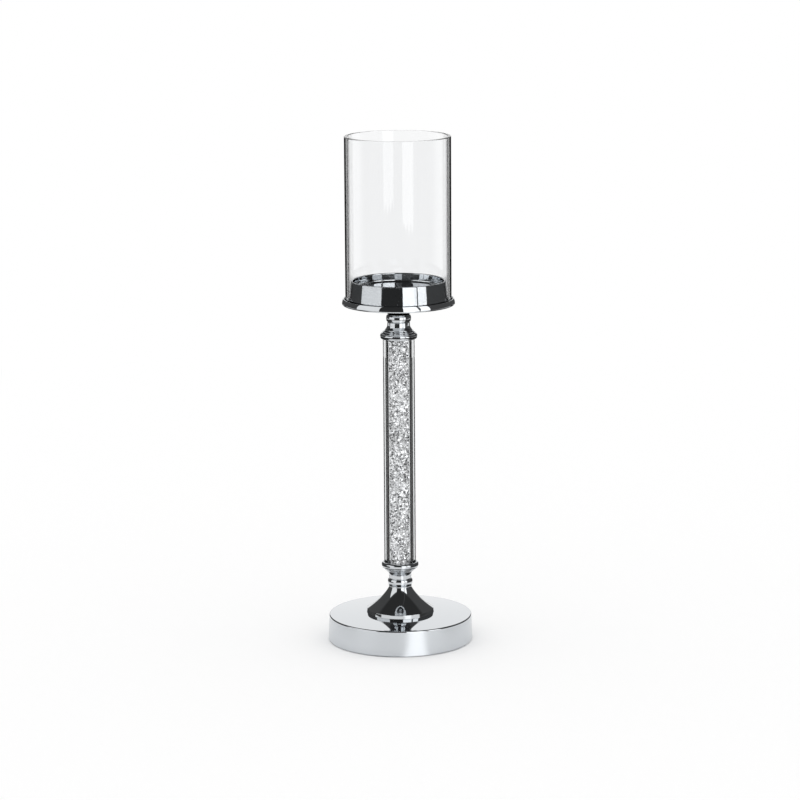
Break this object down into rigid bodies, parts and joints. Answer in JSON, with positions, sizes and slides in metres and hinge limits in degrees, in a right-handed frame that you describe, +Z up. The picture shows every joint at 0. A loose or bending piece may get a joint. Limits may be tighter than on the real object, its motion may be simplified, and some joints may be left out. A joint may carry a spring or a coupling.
{
  "type": "hurricane candle holder",
  "caption": "Tall table candle holder: round weighted base, bell foot, clear crystal-filled column between ferrules, lipped tray with a candle cup, and an open glass cylinder that lifts off.",
  "frame": {"origin": "on the table under the centre of the base, at the felt's underside", "axes": "+Z up along the column's axis; +X to the right and -Y towards the picture's camera"},
  "size_m": [0.12, 0.12, 0.4205],
  "materials": {
    "clear_glass": "clear, fire-polished rims",
    "clear_tube": "clear, polished",
    "crushed_crystal": "crushed clear and silvered chips",
    "polished_chrome": "mirror polished",
    "zinc_steel": "zinc plated",
    "weight_iron": "as cast",
    "soft_gasket": "soft, pale, matt",
    "dark_board": "matt black board",
    "dark_felt": "short black felt"
  },
  "bodies": {
    "stand": {"candle_cup": "polished_chrome", "cup_screw": "zinc_steel", "coupling_nut": "zinc_steel", "tray_washer": "zinc_steel", "shade_tray": "polished_chrome", "tray_hub": "polished_chrome", "upper_ferrule": "polished_chrome", "upper_gasket": "soft_gasket", "column_tube": "clear_tube", "crystal_fill": "crushed_crystal", "core_sleeve": "polished_chrome", "tie_rod": "zinc_steel", "lower_gasket": "soft_gasket", "lower_ferrule": "polished_chrome", "bell_foot": "polished_chrome", "base_shell": "polished_chrome", "base_weight": "weight_iron", "base_washer": "zinc_steel", "base_nut": "zinc_steel", "base_plate": "dark_board", "base_felt": "dark_felt"},
    "shade": {"glass_shade": "clear_glass"}
  },
  "joints": [
    {"name": "shade_lift", "type": "slide", "parent": "stand", "child": "shade", "axis": [0, 0, 1], "range_m": [0, 0.15]}
  ]
}
